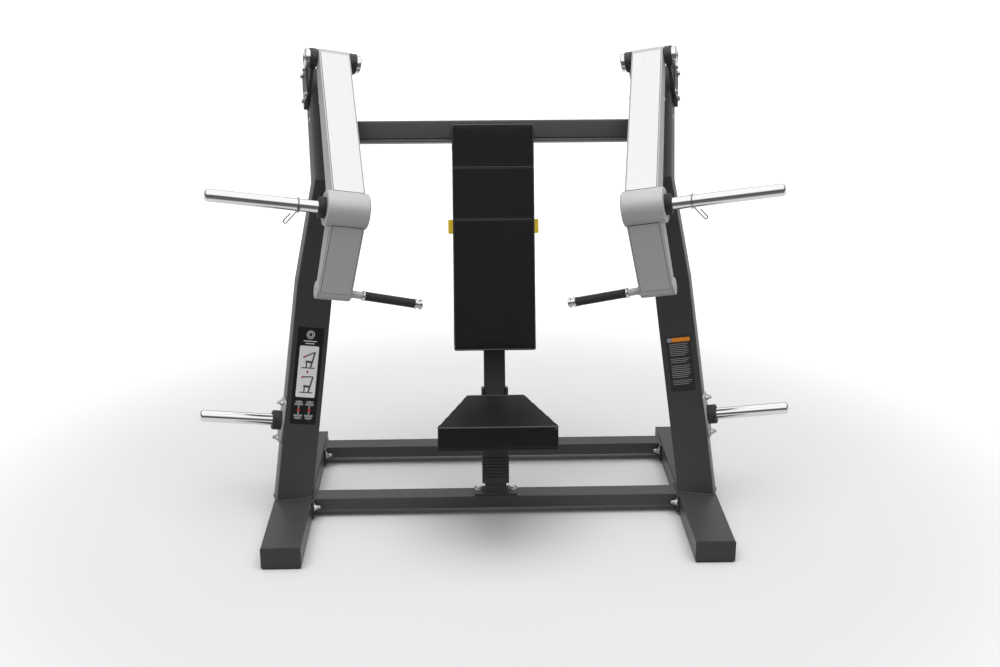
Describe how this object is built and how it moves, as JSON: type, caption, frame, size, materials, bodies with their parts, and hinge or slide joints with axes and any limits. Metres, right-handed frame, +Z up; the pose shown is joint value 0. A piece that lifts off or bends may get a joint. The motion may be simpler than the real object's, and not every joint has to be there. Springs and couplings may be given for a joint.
{
  "type": "plate-loaded incline press machine",
  "caption": "Free-standing plate-loaded press with two independent swinging arms, a height-adjustable seat and an adjustable back pad on a reclined spine.",
  "frame": {"origin": "on the floor, at the middle of the footprint", "axes": "+Z up, +X to the viewer's right when facing the seat, the user sits facing -Y"},
  "size_m": [2.1658, 1.067, 1.6901],
  "materials": {
    "powder_coat": "satin",
    "silver_paint": "satin",
    "chrome": "polished",
    "black_rubber": "matte",
    "black_plastic": "matte",
    "black_vinyl": "satin",
    "yellow_plastic": "satin",
    "zinc_steel": "satin"
  },
  "bodies": {
    "frame": {"front_cross_tube": "powder_coat", "rear_cross_tube": "powder_coat", "top_cross_tube": "powder_coat", "spine_post": "powder_coat", "left_base_rail": "powder_coat", "left_rail_cap_front": "black_plastic", "left_rail_cap_rear": "black_plastic", "left_foot_strip": "black_rubber", "left_upright": "powder_coat", "left_pivot_bracket_outer": "black_plastic", "left_pivot_bracket_inner": "black_plastic", "left_stop_block": "black_rubber", "left_storage_plate": "powder_coat", "left_storage_collar": "black_rubber", "left_storage_horn": "chrome", "right_base_rail": "powder_coat", "right_rail_cap_front": "black_plastic", "right_rail_cap_rear": "black_plastic", "right_foot_strip": "black_rubber", "right_upright": "powder_coat", "right_pivot_bracket_outer": "black_plastic", "right_pivot_bracket_inner": "black_plastic", "right_stop_block": "black_rubber", "right_storage_plate": "powder_coat", "right_storage_collar": "black_rubber", "right_storage_horn": "chrome"},
    "left_arm": {"left_pivot_axle": "chrome", "left_pivot_end_cap": "chrome", "left_upper_arm": "silver_paint", "left_arm_hub": "silver_paint", "left_hub_collar": "black_rubber", "left_weight_horn": "chrome", "left_lower_arm": "silver_paint", "left_boss_cap": "silver_paint", "left_handle_bar": "zinc_steel", "left_handle_ring": "chrome", "left_handle_grip": "black_rubber", "left_handle_end_cap": "chrome"},
    "left_clip": {"left_spring_clip": "chrome"},
    "right_arm": {"right_pivot_axle": "chrome", "right_pivot_end_cap": "chrome", "right_upper_arm": "silver_paint", "right_arm_hub": "silver_paint", "right_hub_collar": "black_rubber", "right_weight_horn": "chrome", "right_lower_arm": "silver_paint", "right_boss_cap": "silver_paint", "right_handle_bar": "zinc_steel", "right_handle_ring": "chrome", "right_handle_grip": "black_rubber", "right_handle_end_cap": "chrome"},
    "right_clip": {"right_spring_clip": "chrome"},
    "seat": {"seat_carriage": "powder_coat", "seat_bracket": "powder_coat", "seat_pad": "black_vinyl"},
    "seat_pin": {"seat_pull_pin": "yellow_plastic"},
    "back": {"back_pad": "black_vinyl", "back_frame": "powder_coat"},
    "lever": {"release_lever": "yellow_plastic"}
  },
  "joints": [
    {"name": "left_press", "type": "hinge", "parent": "frame", "child": "left_arm", "pos_m": [-0.59, 0.3425, 1.637], "axis": [-0.9476, -0.2646, 0.1788], "range_deg": [0, 42]},
    {"name": "left_clip_slide", "type": "slide", "parent": "left_arm", "child": "left_clip", "axis": [-0.9476, -0.2646, 0.1788], "range_m": [-0.06, 0.28]},
    {"name": "right_press", "type": "hinge", "parent": "frame", "child": "right_arm", "pos_m": [0.59, 0.3425, 1.637], "axis": [-0.9476, 0.2646, -0.1788], "range_deg": [0, 42]},
    {"name": "right_clip_slide", "type": "slide", "parent": "right_arm", "child": "right_clip", "axis": [0.9476, -0.2646, 0.1788], "range_m": [-0.06, 0.28]},
    {"name": "seat_height", "type": "slide", "parent": "frame", "child": "seat", "axis": [0, 0.284, 0.9588], "range_m": [-0.015, 0.12]},
    {"name": "seat_pin_pull", "type": "slide", "parent": "seat", "child": "seat_pin", "axis": [0, 0.9588, -0.284], "range_m": [0, 0.012]},
    {"name": "back_depth", "type": "slide", "parent": "frame", "child": "back", "axis": [0, -0.9588, 0.284], "range_m": [0, 0.05]},
    {"name": "lever_turn", "type": "hinge", "parent": "back", "child": "lever", "pos_m": [0, 0.1158, 1.05748], "axis": [1, 0, 0], "range_deg": [-15, 15]}
  ]
}
